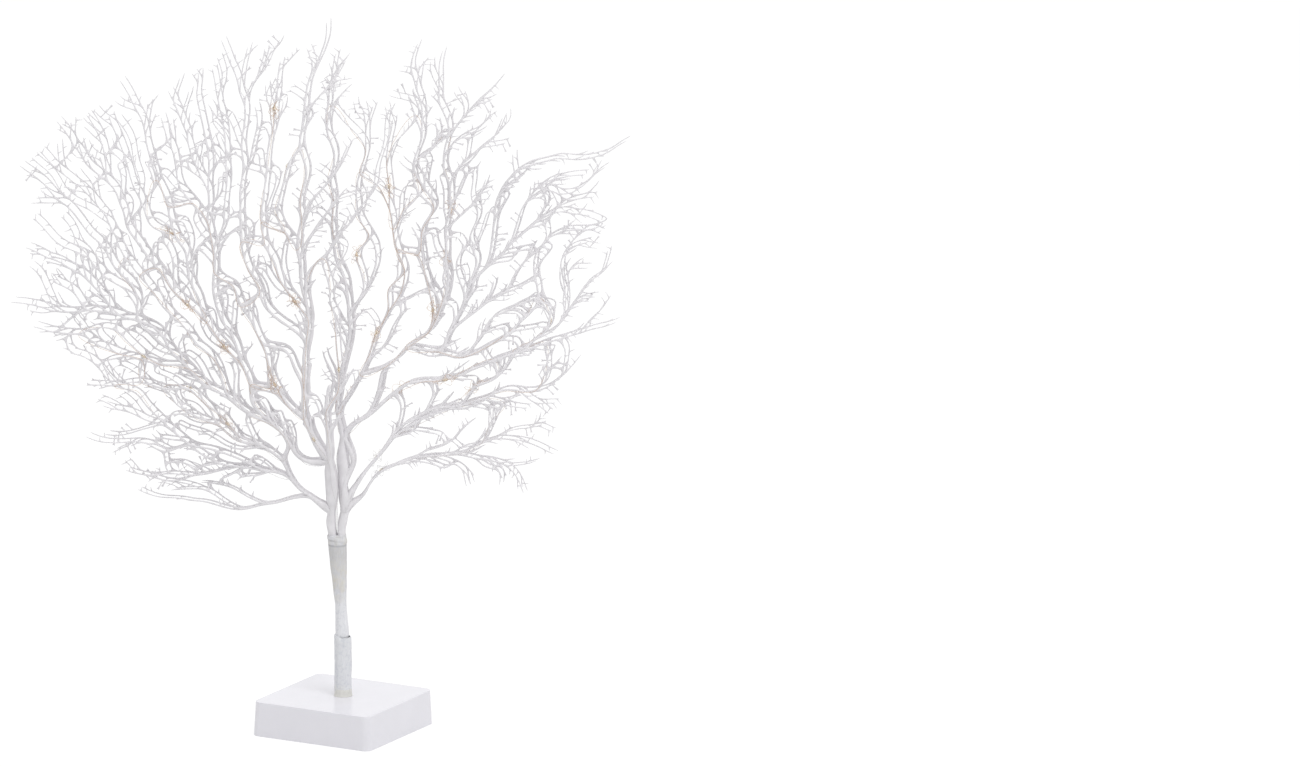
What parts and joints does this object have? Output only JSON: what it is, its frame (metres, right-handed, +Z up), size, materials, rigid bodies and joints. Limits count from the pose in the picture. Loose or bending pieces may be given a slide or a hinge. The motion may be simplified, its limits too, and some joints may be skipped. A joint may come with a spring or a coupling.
{
  "type": "led light tree",
  "caption": "White coral-branch table tree with small warm lamps on copper wire, on a square battery base with a door and a slide switch.",
  "frame": {"origin": "on the ground, under the middle of the square base", "axes": "+Z up; the base's sides lie along X and Y and its front is -Y; the flat crown is turned 28 degrees about Z, its right side towards +X"},
  "size_m": [0.4244, 0.3168, 0.6045],
  "materials": {
    "white_plastic": "satin white moulded ABS",
    "coral_plastic": "painted white moulded polyethylene",
    "cloth_tape": "wound white cloth tape, lightly stained",
    "hot_glue": "cream dried glue",
    "trunk_steel": "bare steel tube",
    "plated_steel": "zinc plated",
    "contact_nickel": "nickel plated strip",
    "black_plastic": "moulded",
    "red_cover": "extruded insulation",
    "lead_cover": "extruded insulation",
    "circuit_board": "solder mask",
    "cell_sleeve": "plain printed sleeve, no text",
    "copper_wire": "enamelled copper",
    "lamp_resin": "clear resin bead over a warm white chip"
  },
  "bodies": {
    "tree": {"base_shell": "white_plastic", "floor_plate": "white_plastic", "switch_body": "plated_steel", "circuit_board": "circuit_board", "lower_trunk_tube": "trunk_steel", "core_rod": "trunk_steel", "lower_tape_wrap": "cloth_tape", "upper_tape_wrap": "cloth_tape", "binding_band": "cloth_tape", "glue_ring": "hot_glue", "light_wire_left": "copper_wire", "light_wire_right": "copper_wire", "lead_wire": "lead_cover", "cell_lead_minus": "black_plastic", "cell_lead_plus": "red_cover", "fan_left_front": "coral_plastic", "fan_left_rear": "coral_plastic", "fan_right_front": "coral_plastic", "fan_right_rear": "coral_plastic", "lamp_01": "lamp_resin", "lamp_02": "lamp_resin", "lamp_03": "lamp_resin", "lamp_04": "lamp_resin", "lamp_05": "lamp_resin", "lamp_06": "lamp_resin", "lamp_07": "lamp_resin", "lamp_08": "lamp_resin", "lamp_09": "lamp_resin", "lamp_10": "lamp_resin", "lamp_11": "lamp_resin", "lamp_12": "lamp_resin", "lamp_13": "lamp_resin", "lamp_14": "lamp_resin", "lamp_15": "lamp_resin", "lamp_16": "lamp_resin", "lamp_17": "lamp_resin", "lamp_18": "lamp_resin", "lamp_19": "lamp_resin", "lamp_20": "lamp_resin", "lamp_21": "lamp_resin", "lamp_22": "lamp_resin", "lamp_23": "lamp_resin", "lamp_24": "lamp_resin", "cell_1": "cell_sleeve", "cell_2": "cell_sleeve", "cell_3": "cell_sleeve", "floor_screw_1": "plated_steel", "floor_screw_2": "plated_steel", "floor_screw_3": "plated_steel", "floor_screw_4": "plated_steel", "contact_plate_minus": "contact_nickel", "contact_bridge_1": "contact_nickel", "contact_bridge_2": "contact_nickel", "contact_plate_plus": "contact_nickel"},
    "battery_door": {"battery_door": "white_plastic", "door_screw": "plated_steel"},
    "switch_slider": {"switch_slider": "black_plastic"}
  },
  "joints": [
    {"name": "battery_door_hinge", "type": "hinge", "parent": "tree", "child": "battery_door", "pos_m": [-0.02735, 0.02839, 0.0016], "axis": [0, 1, 0], "range_deg": [0, 90]},
    {"name": "switch_slide", "type": "slide", "parent": "tree", "child": "switch_slider", "axis": [1, 0, 0], "range_m": [0, 0.005]}
  ]
}
